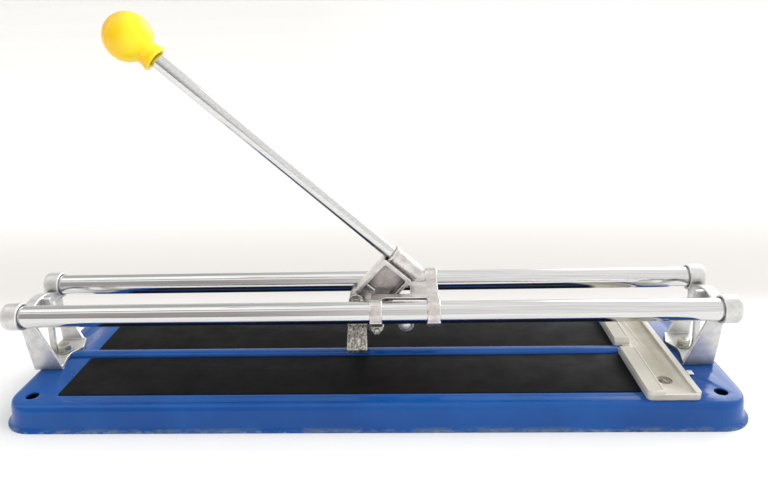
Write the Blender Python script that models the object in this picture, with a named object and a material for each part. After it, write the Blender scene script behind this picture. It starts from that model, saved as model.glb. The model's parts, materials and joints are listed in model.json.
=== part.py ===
"""Twin-rail manual tile cutter: pressed base, two pads, railed carriage with a lever, wheel and foot."""

import math

import bmesh
import bpy
from mathutils import Matrix, Vector

MM = 0.001
GAP = 0.3 * MM
RUNNING = 0.06 * MM

# Base pan. The rails are centred on x = 0 and the pan sits a little to their right.
BASE_SHIFT = 3.65 * MM
BASE_LENGTH = 520 * MM
BASE_WIDTH = 153.5 * MM
BASE_HEIGHT = 19 * MM
BASE_CORNER = 24 * MM
SHEET = 1.2 * MM
WELL_DEPTH = 2 * MM
MOUNT_HOLE_RADIUS = 4.5 * MM
MOUNT_HOLE_X = 238.9 * MM
MOUNT_HOLE_Y = 58.5 * MM
SLOT_CENTRE = (229.4 * MM, -34 * MM)
SLOT_SIZE = (3 * MM, 9 * MM)

# Breaking ridge and pads.
RIDGE_CREST = 21.8 * MM
RIDGE_HALF = 5.3 * MM
RIDGE_LEFT = -222 * MM
RIDGE_RIGHT = 194 * MM
PAD_LEFT = -217.1 * MM
PAD_RIGHT = 189.7 * MM
PAD_INNER = 5.9 * MM
PAD_OUTER = 58.4 * MM
PAD_TOP = 19.5 * MM
PAD_CORNER = 2 * MM

# Rails and end brackets. U is the distance out from the middle of the rails.
RAIL_RADIUS = 8 * MM
RAIL_Y = 29.4 * MM
RAIL_Z = 66.8 * MM
RAIL_END = 258 * MM
ROUND_STEPS = 32
SOCKET_RADIUS = 10 * MM
SOCKET_INNER_U = 248.15 * MM
SOCKET_OUTER_U = 260.6 * MM
SOCKET_ROUND = 2.6 * MM
SADDLE_U = (249.5 * MM, 257.4 * MM)
SADDLE_CROWN = 69.5 * MM
SADDLE_DROP = 5.5 * MM
SADDLE_THICK = 2.4 * MM
SKIRT_FOOT_Z = 59 * MM
BRACKET_FOOT_Z = BASE_HEIGHT + GAP
BRACKET_FLOOR = 3 * MM
BRACKET_WALL = 2.5 * MM
WALL_TOP_Z = 62 * MM
WALL_TOP_U = (242.2 * MM, 252.6 * MM)
WALL_FOOT_U = (230.6 * MM, 253.2 * MM)
REAR_FOOT_U = (234.4 * MM, 253.2 * MM)
REAR_WAIST = (49 * MM, 250.6 * MM, 256.6 * MM)
REAR_TOP_U = (250.9 * MM, 257.2 * MM)
WALL_TOP_Y = 30 * MM
WALL_FOOT_Y = 23.2 * MM
STRUT_HALF = 1.5 * MM
BRACKET_BOLT_U = 240 * MM

# Fence.
FENCE_X = (190.1 * MM, 226 * MM)
FENCE_HALF = 69 * MM
FENCE_Z = BASE_HEIGHT + GAP
FENCE_FLOOR = 2.8 * MM
FENCE_STRIP_X = 201 * MM
FENCE_STRIP_Z = 26.2 * MM
FENCE_RIM_X = 222 * MM
FENCE_RIM_Z = 24 * MM
FENCE_END_RIM = 2 * MM
FENCE_END_Z = 23.4 * MM
FENCE_GAP_HALF = 7 * MM
FENCE_GAP_FOOT = 4 * MM
FENCE_NOTCH_HALF = 3 * MM
FENCE_NOTCH_X = 195 * MM
FENCE_SCREW_X = 208.4 * MM
FENCE_SCREW_Y = {"front": -48.2 * MM, "rear": 56 * MM}

# Carriage. Ring spans are along X.
RING_SPANS = ((4 * MM, 13.1 * MM), (44.6 * MM, 54.2 * MM))
RING_RADIUS = 10 * MM
DECK_TOP = 72 * MM
DECK_THICK = 2.3 * MM
DECK_HALF = 15 * MM
ARM_REACH = 21.2 * MM
ARM_INSET = 0.35 * MM
LEVER_SLOT_HALF = 8 * MM
LEVER_SLOT_END = 33 * MM
EAR_Y = (17 * MM, 21 * MM)
EAR_RADIUS = 5 * MM

# Lever. E1 runs towards the knob and E2 at right angles to it, both from the pivot.
PIVOT = (8.4 * MM, 51 * MM)
E1 = (-0.7396, 0.6731)
E2 = (0.6731, 0.7396)
PIVOT_BOLT_RADIUS = 2 * MM
HUB_RADIUS = 4.6 * MM
HUB_HALF = 16.7 * MM
SLEEVE_E2 = 44.5 * MM
SLEEVE_RADIUS = 6.8 * MM
SLEEVE_SPAN = (-0.5 * MM, 25 * MM)
ROD_RADIUS = 5 * MM
ROD_SPAN = (1.8 * MM, 258 * MM)
KNOB_E1 = 258 * MM
KNOB_RADIUS = 16.5 * MM
FLANGE_HALF = 7.5 * MM
WEB_HALF = 1.6 * MM
KNUCKLE = (21 * MM, 0)
KNUCKLE_RADIUS = 5.6 * MM
KNUCKLE_HALF = 3.4 * MM
PIN_RADIUS = 2.5 * MM
WHEEL = (-21.04 * MM, 8.2 * MM)
WHEEL_RADIUS = 6 * MM
WHEEL_HALF = 1.1 * MM
WHEEL_ARM_Y = (1.5 * MM, 6 * MM)

# Breaker foot, hanging from the knuckle.
FOOT_EAR_Y = (3.8 * MM, 7.4 * MM)
FOOT_SLOPE = ((0, 52.6), (7.6, 52.6), (9.4, 47.5), (13, 41.5), (19.2, 33.4), (20, 32.2))

FINISHES = {
    "blue_paint": ((0.016, 0.105, 0.402), 0.0, 0.35),
    "black_rubber": ((0.012, 0.012, 0.013), 0.0, 0.75),
    "chrome": ((0.78, 0.78, 0.78), 1.0, 0.12),
    "die_cast": ((0.62, 0.61, 0.59), 1.0, 0.38),
    "zinc_steel": ((0.6, 0.58, 0.5), 1.0, 0.3),
    "beige_plastic": ((0.68, 0.65, 0.57), 0.0, 0.45),
    "yellow_plastic": ((0.95, 0.72, 0.02), 0.0, 0.18),
    "hard_steel": ((0.3, 0.3, 0.31), 1.0, 0.3),
}


def clear_scene():
    for obj in list(bpy.data.objects):
        bpy.data.objects.remove(obj, do_unlink=True)


def make_finish(name):
    colour, metallic, roughness = FINISHES[name]
    material = bpy.data.materials.new(name)
    material.use_nodes = True
    shader = material.node_tree.nodes["Principled BSDF"]
    shader.inputs["Base Color"].default_value = (*colour, 1)
    shader.inputs["Metallic"].default_value = metallic
    shader.inputs["Roughness"].default_value = roughness
    return material


def finish_mesh(name, mesh_builder, home):
    bmesh.ops.remove_doubles(mesh_builder, verts=mesh_builder.verts, dist=0.001 * MM)
    bmesh.ops.recalc_face_normals(mesh_builder, faces=mesh_builder.faces)
    mesh = bpy.data.meshes.new(name)
    mesh_builder.to_mesh(mesh)
    mesh_builder.free()
    obj = bpy.data.objects.new(name, mesh)
    home.objects.link(obj)
    return obj


def skin(name, rings, home, looped=False):
    """A closed body through rings of the same count: capped at both ends, or joined end to end."""
    builder = bmesh.new()
    loops = [[builder.verts.new(point) for point in ring] for ring in rings]
    pairs = list(zip(loops, loops[1:]))
    if looped:
        pairs.append((loops[-1], loops[0]))
    for low, high in pairs:
        for i in range(len(low)):
            j = (i + 1) % len(low)
            builder.faces.new((low[i], low[j], high[j], high[i]))
    if not looped:
        builder.faces.new(loops[0])
        builder.faces.new(loops[-1])
    return finish_mesh(name, builder, home)


def block(name, x, y, z, home):
    corners = ((x[0], y[0]), (x[1], y[0]), (x[1], y[1]), (x[0], y[1]))
    return skin(name, [[(*corner, level) for corner in corners] for level in z], home)


def fillet(points, radii, steps=4):
    """The outline with each corner turned into an arc of its radius."""
    outline = []
    for i, (corner, radius) in enumerate(zip(points, radii)):
        here = Vector(corner)
        if radius <= 0:
            outline.append(tuple(here))
            continue
        back = Vector(points[i - 1]) - here
        on = Vector(points[(i + 1) % len(points)]) - here
        half = back.angle(on) / 2
        reach = min(radius / math.tan(half), 0.48 * back.length, 0.48 * on.length)
        radius = reach * math.tan(half)
        centre = here + (back.normalized() + on.normalized()).normalized() * (radius / math.sin(half))
        first = here + back.normalized() * reach - centre
        last = here + on.normalized() * reach - centre
        start = math.atan2(first.y, first.x)
        sweep = (math.atan2(last.y, last.x) - start + math.pi) % (2 * math.pi) - math.pi
        for k in range(steps + 1):
            angle = start + sweep * k / steps
            outline.append((centre.x + radius * math.cos(angle), centre.y + radius * math.sin(angle)))
    return outline


def prism(name, outline, across, span, home):
    """An outline pushed along the axis named by across; the outline holds the other two coordinates."""
    place = {
        "X": lambda point, level: (level, point[0], point[1]),
        "Y": lambda point, level: (point[0], level, point[1]),
        "Z": lambda point, level: (point[0], point[1], level),
    }[across]
    return skin(name, [[place(point, level) for point in outline] for level in span], home)


def turned(name, profile, centre, direction, home, steps=ROUND_STEPS, sides=False):
    """A body turned about the direction. Profile points are (radius, distance along the direction).

    With sides=True the profile is a closed loop off the axis, as for a ring; otherwise it ends on the axis.
    """
    turn = Vector((0, 0, 1)).rotation_difference(Vector(direction)).to_matrix().to_4x4()
    frame = Matrix.Translation(centre) @ turn
    builder = bmesh.new()
    rings = []
    for radius, along in profile:
        if radius == 0:
            rings.append([builder.verts.new(frame @ Vector((0, 0, along)))])
            continue
        ring = []
        for k in range(steps):
            angle = 2 * math.pi * k / steps
            ring.append(builder.verts.new(frame @ Vector((
                radius * math.cos(angle), radius * math.sin(angle), along))))
        rings.append(ring)
    pairs = list(zip(rings, rings[1:]))
    if sides:
        pairs.append((rings[-1], rings[0]))
    for one, other in pairs:
        for k in range(steps):
            m = (k + 1) % steps
            if len(one) == 1:
                builder.faces.new((one[0], other[m], other[k]))
            elif len(other) == 1:
                builder.faces.new((one[k], one[m], other[0]))
            else:
                builder.faces.new((one[k], one[m], other[m], other[k]))
    return finish_mesh(name, builder, home)


def rod(name, radius, span, centre, direction, home, steps=ROUND_STEPS, edge=0.0):
    """A plain bar, with its two end edges chamfered when edge is given."""
    low, high = span
    profile = [(0, low), (radius - edge, low), (radius, low + edge), (radius, high - edge),
               (radius - edge, high), (0, high)]
    if edge == 0:
        profile = [(0, low), (radius, low), (radius, high), (0, high)]
    return turned(name, profile, centre, direction, home, steps)


def apply_boolean(target, others, operation):
    for other in others:
        change = target.modifiers.new(operation.lower(), "BOOLEAN")
        change.operation = operation
        change.solver = "EXACT"
        change.object = other
    return target


def join(target, *others):
    return apply_boolean(target, others, "UNION")


def cut(target, *others):
    return apply_boolean(target, others, "DIFFERENCE")


def dress(obj, finish, smooth_degrees=None, origin=None):
    obj.data.materials.clear()
    obj.data.materials.append(finish)
    if smooth_degrees is not None:
        obj.data.shade_smooth()
        obj.data.set_sharp_from_angle(angle=math.radians(smooth_degrees))
    if origin is not None:
        obj.data.transform(Matrix.Translation(-Vector(origin)))
        obj.location = origin
    return obj


def level_ring(inset_x, inset_y, z, radius, steps=6):
    """One outline of the base pan, drawn in from the rim by its two insets."""
    half_x = BASE_LENGTH / 2 - inset_x
    half_y = BASE_WIDTH / 2 - inset_y
    corners = ((half_x, half_y), (-half_x, half_y), (-half_x, -half_y), (half_x, -half_y))
    outline = fillet(corners, [radius] * 4, steps)
    return [(BASE_SHIFT + x, y, z) for x, y in outline]


def pressed_shell(name, levels, home):
    """A pan form through (inset along X, inset along Y, height) levels in millimetres."""
    rings = []
    for inset_x, inset_y, z in levels:
        radius = BASE_CORNER - (inset_x + inset_y) / 2 * MM
        rings.append(level_ring(inset_x * MM, inset_y * MM, z * MM, radius))
    return skin(name, rings, home)


def ridge_section(x, height, half, foot):
    """One section of the rounded ridge: height above the base's top, and half its width."""
    shape = ((-1, 0), (-0.97, 0.32), (-0.8, 0.72), (-0.45, 0.96), (0, 1), (0.45, 0.96), (0.8, 0.72), (0.97, 0.32), (1, 0))
    points = [(x, half * u, BASE_HEIGHT + height * v) for u, v in shape]
    return [(x, -half, foot), *points, (x, half, foot)]


def ridge(name, margin, foot, home):
    """The ridge as a solid; a negative margin makes the groove beneath it."""
    crest = RIDGE_CREST - BASE_HEIGHT + margin
    half = RIDGE_HALF + margin
    left, right = RIDGE_LEFT - margin, RIDGE_RIGHT + margin
    stations = ((left, 0.04, 0.5), (left + 3 * MM, 0.55, 0.8), (left + 7 * MM, 0.92, 0.97),
                (left + 11 * MM, 1, 1), (right - 9 * MM, 1, 1), (right - 5.2 * MM, 0.97, 0.5),
                (right - 2 * MM, 0.8, 0.36), (right, 0.3, 0.2))
    rings = [ridge_section(x, max(crest * tall, 0.05 * MM), half * wide, foot) for x, tall, wide in stations]
    return skin(name, rings, home)


def make_base(parts, tools):
    """The pan: a drawn shell with two pad wells, the ridge and its holes."""
    outside = ((0, 0, 0), (0, 0, 1.0), (0.9, 0.5, 1.7), (2.6, 1.3, 3.0), (4.0, 1.9, 5.5),
               (4.9, 2.8, 13.0), (5.4, 3.4, 16.0), (6.6, 4.7, 18.1), (9.2, 6.9, 19.0))
    inside = ((4.6, 2.7, -1.0), (4.6, 2.7, 1.6), (5.2, 3.1, 5.5), (6.1, 4.0, 13.0),
              (6.6, 4.6, 15.6), (7.8, 5.9, 17.2), (9.6, 7.3, 17.8))
    pan = pressed_shell("base_pan", outside, parts)
    hollow = pressed_shell("base_hollow", inside, tools)
    floor = BASE_HEIGHT - WELL_DEPTH
    for side, label in ((-1, "front"), (1, "rear")):
        inner, outer = sorted((side * (PAD_INNER - 0.4 * MM), side * (PAD_OUTER + 0.3 * MM)))
        left, right = PAD_LEFT - 0.4 * MM, PAD_RIGHT + 0.3 * MM
        corners = ((left, inner), (right, inner), (right, outer), (left, outer))
        outline = fillet(corners, [PAD_CORNER] * 4)
        cut(pan, prism(f"well_{label}", outline, "Z", (floor, BASE_HEIGHT + 5 * MM), tools))
        wide = ((left - SHEET, inner - SHEET), (right + SHEET, inner - SHEET),
                (right + SHEET, outer + SHEET), (left - SHEET, outer + SHEET))
        outline = fillet(wide, [PAD_CORNER + SHEET] * 4)
        cut(hollow, prism(f"well_back_{label}", outline, "Z", (floor - SHEET, BASE_HEIGHT), tools))
    join(hollow, ridge("ridge_groove", -SHEET, floor - 2 * SHEET, tools))
    join(pan, ridge("ridge_form", 0, floor - 0.5 * SHEET, tools))
    cut(pan, hollow)
    for sx in (-1, 1):
        for sy in (-1, 1):
            centre = (BASE_SHIFT + sx * MOUNT_HOLE_X, sy * MOUNT_HOLE_Y, 0)
            side = f"{'L' if sx < 0 else 'R'}{'F' if sy < 0 else 'B'}"
            cut(pan, rod(f"hole_{side}", MOUNT_HOLE_RADIUS, (14 * MM, 24 * MM), centre, (0, 0, 1), tools, 32))
        hole = (sx * BRACKET_BOLT_U, 0, 0)
        cut(pan, rod(f"bolt_hole_{sx}", 3.3 * MM, (12 * MM, 24 * MM), hole, (0, 0, 1), tools, 24))
    for label, y in FENCE_SCREW_Y.items():
        hole = (FENCE_SCREW_X, y, 0)
        cut(pan, rod(f"screw_hole_{label}", 2.4 * MM, (12 * MM, 24 * MM), hole, (0, 0, 1), tools, 24))
    x, y = SLOT_CENTRE
    width, length = SLOT_SIZE
    cut(pan, block("slot", (x - width / 2, x + width / 2), (y - length / 2, y + length / 2),
                   (14 * MM, 24 * MM), tools))
    return pan


def make_pad(label, side, parts):
    inner, outer = sorted((side * PAD_INNER, side * PAD_OUTER))
    corners = ((PAD_LEFT, inner), (PAD_RIGHT, inner), (PAD_RIGHT, outer), (PAD_LEFT, outer))
    outline = fillet(corners, [PAD_CORNER] * 4)
    bottom = BASE_HEIGHT - WELL_DEPTH + GAP
    return prism(f"pad_{label}", outline, "Z", (bottom, PAD_TOP), parts)


def slab(name, levels, home):
    """A plate through rectangles stacked upwards, each ((x0, x1), (y0, y1), z)."""
    rings = []
    for (x0, x1), (y0, y1), z in levels:
        rings.append([(x0, y0, z), (x1, y0, z), (x1, y1, z), (x0, y1, z)])
    return skin(name, rings, home)


def saddle_height(y):
    return SADDLE_CROWN - SADDLE_DROP * (y / (RAIL_Y - SOCKET_RADIUS)) ** 2


def make_bracket(label, side, parts, tools):
    """An end casting: floor, two leaning walls, a strut, an arched saddle and two blind sockets."""
    def across(low, high):
        return tuple(sorted((side * low, side * high)))

    floor_top = BRACKET_FOOT_Z + BRACKET_FLOOR
    corners = ((WALL_FOOT_U[1], -WALL_FOOT_Y), (WALL_FOOT_U[0], -WALL_FOOT_Y), (234 * MM, -9 * MM),
               (234.4 * MM, -2 * MM), (229.4 * MM, 8 * MM), (REAR_FOOT_U[0], WALL_FOOT_Y),
               (REAR_FOOT_U[1], WALL_FOOT_Y))
    outline = [(side * u, y) for u, y in fillet(corners, [0, 1 * MM, 3 * MM, 3 * MM, 3 * MM, 1 * MM, 0])]
    bracket = prism(f"bracket_{label}", outline, "Z", (BRACKET_FOOT_Z, floor_top), parts)
    hole = (side * BRACKET_BOLT_U, 0, 0)
    cut(bracket, rod(f"foot_hole_{label}", 3.3 * MM, (17 * MM, 26 * MM), hole, (0, 0, 1), tools, 24))

    def wall_y(z, end):
        outer = WALL_FOOT_Y + (WALL_TOP_Y - WALL_FOOT_Y) * (z - BRACKET_FOOT_Z) / (WALL_TOP_Z - BRACKET_FOOT_Z)
        return tuple(sorted((end * outer, end * (outer - BRACKET_WALL))))

    waist_z, waist_in, waist_out = REAR_WAIST
    walls = {
        -1: ((WALL_FOOT_U, BRACKET_FOOT_Z), (WALL_TOP_U, WALL_TOP_Z)),
        1: ((REAR_FOOT_U, BRACKET_FOOT_Z), ((waist_in, waist_out), waist_z), (REAR_TOP_U, WALL_TOP_Z)),
    }
    for end, stack in walls.items():
        levels = [(across(*span), wall_y(z, end), z) for span, z in stack]
        join(bracket, slab(f"wall_{label}_{end}", levels, tools))
        length = SOCKET_OUTER_U - SOCKET_INNER_U
        soft = SOCKET_ROUND
        profile = [(0, 0), (SOCKET_RADIUS - 0.4 * MM, 0), (SOCKET_RADIUS, 0.4 * MM)]
        for k in range(5):
            angle = math.pi / 2 * k / 4
            profile.append((SOCKET_RADIUS - soft + soft * math.cos(angle), length - soft + soft * math.sin(angle)))
        profile.append((0, length))
        centre = (side * SOCKET_INNER_U, end * RAIL_Y, RAIL_Z)
        join(bracket, turned(f"socket_{label}_{end}", profile, centre, (side, 0, 0), tools))
    ys = [(-21 + 3.5 * k) * MM for k in range(13)]
    strip = [(y, saddle_height(y)) for y in ys] + [(y, saddle_height(y) - SADDLE_THICK) for y in reversed(ys)]
    join(bracket, prism(f"saddle_{label}", strip, "X", across(*SADDLE_U), tools))
    ys = [0.97 * y for y in ys]
    skirt = [(y, saddle_height(y) - 0.4 * MM) for y in ys] + [(20.9 * MM, SKIRT_FOOT_Z), (-20.9 * MM, SKIRT_FOOT_Z)]
    join(bracket, prism(f"skirt_{label}", skirt, "X", across(SADDLE_U[0] + 0.3 * MM, SADDLE_U[0] + 2.4 * MM), tools))
    strut = ((246.4, 20.5), (251.2, 20.5), (250, 48), (252.6, 54), (253.6, 56), (253.6, 68.4), (243.6, 68.4),
             (242.3, 61.5), (245.2, 42.4), (246.2, 29.8))
    strut = [(side * u * MM, z * MM) for u, z in strut]
    join(bracket, prism(f"strut_{label}", strut, "Y", (-STRUT_HALF, STRUT_HALF), tools))
    for end in (-1, 1):
        centre = (0, end * RAIL_Y, RAIL_Z)
        reach = (SOCKET_INNER_U - 12 * MM, RAIL_END + GAP)
        cut(bracket, rod(f"bore_{label}_{end}", RAIL_RADIUS + GAP, reach, centre, (side, 0, 0), tools, 36))
    return bracket


def hexagon_head(name, across_flats, span, centre, direction, home):
    """A hexagon prism with its corners turned off at the far end."""
    corner = across_flats / 2 / math.cos(math.pi / 6)
    low, high = span
    profile = [(0, low), (corner, low), (corner, high - 0.5 * MM), (corner - 0.9 * MM, high), (0, high)]
    return turned(name, profile, centre, direction, home, 6)


def make_bolt(name, radius, head_flats, head, reach, centre, direction, parts, tools):
    """A bolt along the direction: head is the span of its head, and reach the far end of the shank."""
    bolt = hexagon_head(name, head_flats, (head[1], head[0]) if head[0] > head[1] else head, centre, direction, parts)
    span = (min(reach, head[0] + 0.2 * MM), max(reach, head[0] + 0.2 * MM))
    join(bolt, rod(f"{name}_shank", radius, span, centre, direction, tools, 24, 0.4 * MM))
    return bolt


def make_ring(name, outer, inner, span, centre, direction, home, steps=32):
    low, high = span
    profile = [(inner, low), (outer, low), (outer, high), (inner, high)]
    return turned(name, profile, centre, direction, home, steps, True)


def make_nut(name, across_flats, bore, span, centre, direction, parts, tools):
    nut = hexagon_head(name, across_flats, span, centre, direction, parts)
    through = rod(f"{name}_bore", bore, (span[0] - 2 * MM, span[1] + 2 * MM), centre, direction, tools, 24)
    return cut(nut, through)


def make_fence(parts, tools):
    """The plastic stop: a shallow tray with a raised strip on its left, notched at the ridge."""
    x0, x1 = FENCE_X
    corners = ((x0, -FENCE_HALF), (x1, -FENCE_HALF), (x1, FENCE_HALF), (x0, FENCE_HALF))
    outline = fillet(corners, [3 * MM, 4 * MM, 4 * MM, 3 * MM])
    fence = prism("fence", outline, "Z", (FENCE_Z, FENCE_STRIP_Z), parts)
    floor, clear = FENCE_Z + FENCE_FLOOR, FENCE_STRIP_Z + 10 * MM
    inside = FENCE_HALF - FENCE_END_RIM
    tray = ((FENCE_STRIP_X, clear), (FENCE_STRIP_X, floor), (FENCE_RIM_X, floor), (FENCE_RIM_X, FENCE_RIM_Z),
            (x1 + 10 * MM, FENCE_RIM_Z), (x1 + 10 * MM, clear))
    cut(fence, prism("tray", tray, "Y", (-inside, inside), tools))
    for end, label in ((-1, "front"), (1, "rear")):
        outer = tuple(sorted((end * (inside - 0.1 * MM), end * (FENCE_HALF + 10 * MM))))
        ledge = (FENCE_STRIP_X + 0.2 * MM, x1 + 8 * MM)
        cut(fence, block(f"ledge_{label}", ledge, outer, (FENCE_END_Z, clear + MM), tools))
        centre = (FENCE_SCREW_X, FENCE_SCREW_Y[label], 0)
        shelf = FENCE_Z + 1.2 * MM
        stepped = [(0, 14 * MM), (2.4 * MM, 14 * MM), (2.4 * MM, shelf), (5.2 * MM, shelf), (5.2 * MM, 30 * MM),
                   (0, 30 * MM)]
        cut(fence, turned(f"recess_{label}", stepped, centre, (0, 0, 1), tools, 28))
    foot, rise = floor + 0.2 * MM, clear + 2 * MM
    slope = FENCE_GAP_HALF - FENCE_GAP_FOOT
    lean = slope * (rise - foot) / (FENCE_STRIP_Z - foot)
    gap = ((-FENCE_GAP_FOOT, foot), (FENCE_GAP_FOOT, foot), (FENCE_GAP_FOOT + lean, rise), (-FENCE_GAP_FOOT - lean, rise))
    cut(fence, prism("ridge_gap", gap, "X", (x0 - 5 * MM, FENCE_STRIP_X + 0.5 * MM), tools))
    notch = ((x0 - 5 * MM, -FENCE_NOTCH_HALF), (FENCE_NOTCH_X, -FENCE_NOTCH_HALF),
             (FENCE_NOTCH_X, FENCE_NOTCH_HALF), (x0 - 5 * MM, FENCE_NOTCH_HALF))
    outline = fillet(notch, [0, 1.5 * MM, 1.5 * MM, 0])
    cut(fence, prism("ridge_notch", outline, "Z", (FENCE_Z - 2 * MM, 30 * MM), tools))
    return fence


def make_carriage(parts, tools):
    """The sliding casting: a slotted deck between four rail rings, with two ears for the lever's bolt."""
    low, high = DECK_TOP - DECK_THICK, DECK_TOP
    step = ARM_INSET
    left, right = RING_SPANS[0][0] + step, RING_SPANS[1][1] - step
    arm_in, arm_out = RING_SPANS[0][1] - step, RING_SPANS[1][0] + step
    front = [(left, -LEVER_SLOT_HALF), (left, -ARM_REACH), (arm_in, -ARM_REACH), (arm_in, -DECK_HALF),
             (arm_out, -DECK_HALF), (arm_out, -ARM_REACH), (right, -ARM_REACH)]
    rear = [(x, -y) for x, y in reversed(front)]
    slot_end = [(LEVER_SLOT_END, LEVER_SLOT_HALF), (LEVER_SLOT_END, -LEVER_SLOT_HALF)]
    soft = [1, 0, 0, 2, 2, 0, 0]
    radii = [value * MM for value in (*soft, *reversed(soft), 2, 2)]
    deck = fillet(front + rear + slot_end, radii)
    carriage = prism("carriage", deck, "Z", (low, high), parts)
    for number, (x0, x1) in enumerate(RING_SPANS):
        for end in (-1, 1):
            centre = (0, end * RAIL_Y, RAIL_Z)
            edge = 0.5 * MM
            bore = RAIL_RADIUS + RUNNING
            profile = [(bore, x0), (RING_RADIUS - edge, x0), (RING_RADIUS, x0 + edge), (RING_RADIUS, x1 - edge),
                       (RING_RADIUS - edge, x1), (bore, x1)]
            ring = turned(f"ring_{number}_{end}", profile, centre, (1, 0, 0), tools, sides=True)
            join(carriage, ring)
    x, z = PIVOT
    for end in (-1, 1):
        top = high - 0.7 * MM
        ear = [(x - EAR_RADIUS + 1.2 * MM, top), (x - EAR_RADIUS + 1.2 * MM, z + 4 * MM)]
        for k in range(13):
            angle = math.pi * (0.86 + 1.28 * k / 12)
            ear.append((x + EAR_RADIUS * math.cos(angle), z + EAR_RADIUS * math.sin(angle)))
        ear += [(x + EAR_RADIUS - 1 * MM, z + 4 * MM), (x + EAR_RADIUS - 1 * MM, top)]
        span = tuple(sorted((end * EAR_Y[0], end * EAR_Y[1])))
        join(carriage, prism(f"ear_{end}", ear, "Y", span, tools))
    cut(carriage, rod("ear_bore", PIVOT_BOLT_RADIUS + GAP, (-30 * MM, 30 * MM), (x, 0, z), (0, 1, 0), tools, 24))
    return carriage


def lever_point(e1, e2, y=0.0):
    """A point given along the lever's two own directions, as world coordinates."""
    return (PIVOT[0] + E1[0] * e1 + E2[0] * e2, y, PIVOT[1] + E1[1] * e1 + E2[1] * e2)


def lever_prism(name, outline, span, home):
    """A prism along Y whose outline is in the lever's own directions, in millimetres."""
    placed = [lever_point(e1 * MM, e2 * MM) for e1, e2 in outline]
    return prism(name, [(x, z) for x, _, z in placed], "Y", span, home)


def lever_bar(name, e1, e2, half, home, radius=0.0):
    corners = ((e1[0], e2[0]), (e1[1], e2[0]), (e1[1], e2[1]), (e1[0], e2[1]))
    outline = fillet(corners, [radius] * 4, 3) if radius else corners
    return lever_prism(name, outline, (-half, half), home)


def make_lever(parts, tools):
    """The swinging casting: rod sleeve, flanged web, hub, foot knuckle and wheel arm."""
    along = (E1[0], 0, E1[1])
    frame = ((27.3, 6.6), (27.3, 39.9), (1.6, 39.9), (1.6, 9.5), (4.2, 9.5), (4.2, 36.6), (24.4, 36.6), (24.4, 6.6))
    outline = fillet(frame, [0.8, 1.2, 1.2, 0.6, 0.6, 1.5, 1.5, 0.8], 3)
    lever = lever_prism("lever", outline, (-FLANGE_HALF, FLANGE_HALF), parts)
    web = ((26.2, 38.7), (2.7, 38.7), (2.2, 12), (-3.6, 4.2), (-3.0, -3.8), (3, -3.8), (7, 0), (14, 0.4), (17, -4.4),
           (23.6, -4.6), (26.0, 1), (26.2, 8))
    outline = fillet(web, [0, 0, 3, 2, 2, 0, 2, 2, 0, 2, 2, 0], 3)
    join(lever, lever_prism("web", outline, (-WEB_HALF, WEB_HALF), tools))
    join(lever, lever_bar("cross_rib", (16.6, 26), (14.6, 16.6), FLANGE_HALF - 0.6 * MM, tools))
    profile = [(0, SLEEVE_SPAN[0]), (SLEEVE_RADIUS - 0.5 * MM, SLEEVE_SPAN[0]),
               (SLEEVE_RADIUS, SLEEVE_SPAN[0] + 0.5 * MM), (SLEEVE_RADIUS, 22.4 * MM), (7.4 * MM, 23 * MM),
               (7.4 * MM, 24.6 * MM), (7 * MM, SLEEVE_SPAN[1]), (0, SLEEVE_SPAN[1])]
    sleeve_foot = lever_point(0, SLEEVE_E2)
    join(lever, turned("sleeve", profile, sleeve_foot, along, tools))
    pivot = (PIVOT[0], 0, PIVOT[1])
    join(lever, rod("hub", HUB_RADIUS, (-HUB_HALF, HUB_HALF), pivot, (0, 1, 0), tools, 32, 0.4 * MM))
    knuckle = lever_point(*KNUCKLE)
    join(lever, rod("knuckle", KNUCKLE_RADIUS, (-KNUCKLE_HALF, KNUCKLE_HALF), knuckle, (0, 1, 0), tools, 32))
    arm = ((4, 8), (-1, 11), (-10, 12.2), (-21, 13), (-25.8, 8.2), (-21, 3.4), (-12, 1.6), (-4, -3.5), (2, -3))
    holder = lever_prism("wheel_arm", fillet(arm, [0, 2, 4, 3, 5, 3, 3, 0, 0], 4), WHEEL_ARM_Y, tools)
    wheel_hole = lever_point(*WHEEL)
    cut(holder, rod("wheel_bore", 2.3 * MM, (-10 * MM, 20 * MM), wheel_hole, (0, 1, 0), tools, 24))
    join(lever, holder)
    cut(lever, rod("sleeve_bore", ROD_RADIUS + GAP, (ROD_SPAN[0] - GAP, 40 * MM), sleeve_foot, along, tools))
    cut(lever, rod("hub_bore", PIVOT_BOLT_RADIUS + 0.08 * MM, (-30 * MM, 30 * MM), pivot, (0, 1, 0), tools, 32))
    cut(lever, rod("knuckle_bore", PIN_RADIUS + GAP, (-30 * MM, 30 * MM), knuckle, (0, 1, 0), tools, 32))
    return lever


def make_knob(parts, tools):
    """A ball with a short flared neck, bored for the handle rod."""
    centre = lever_point(KNOB_E1, SLEEVE_E2)
    profile = [(0, KNOB_RADIUS)]
    lowest = math.acos(-14 / 16.5)
    for k in range(1, 13):
        angle = lowest * k / 12
        profile.append((KNOB_RADIUS * math.sin(angle), KNOB_RADIUS * math.cos(angle)))
    profile += [(8.75 * MM, -16.8 * MM), (8.9 * MM, -18.5 * MM), (9.5 * MM, -20.8 * MM), (9.5 * MM, -22.1 * MM),
                (9.1 * MM, -22.5 * MM), (7.2 * MM, -22.5 * MM), (6.9 * MM, -21 * MM), (0, -21 * MM)]
    profile.reverse()
    knob = turned("ball_knob", profile, centre, (E1[0], 0, E1[1]), parts)
    return cut(knob, rod("knob_bore", ROD_RADIUS + GAP, (-40 * MM, GAP), centre, (E1[0], 0, E1[1]), tools))


def foot_top(y):
    """Height of the foot's upper face at a distance out from the ridge, both in millimetres."""
    for (near, high), (far, low) in zip(FOOT_SLOPE, FOOT_SLOPE[1:]):
        if y <= far:
            return high + (low - high) * (y - near) / (far - near)
    return FOOT_SLOPE[-1][1]


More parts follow.
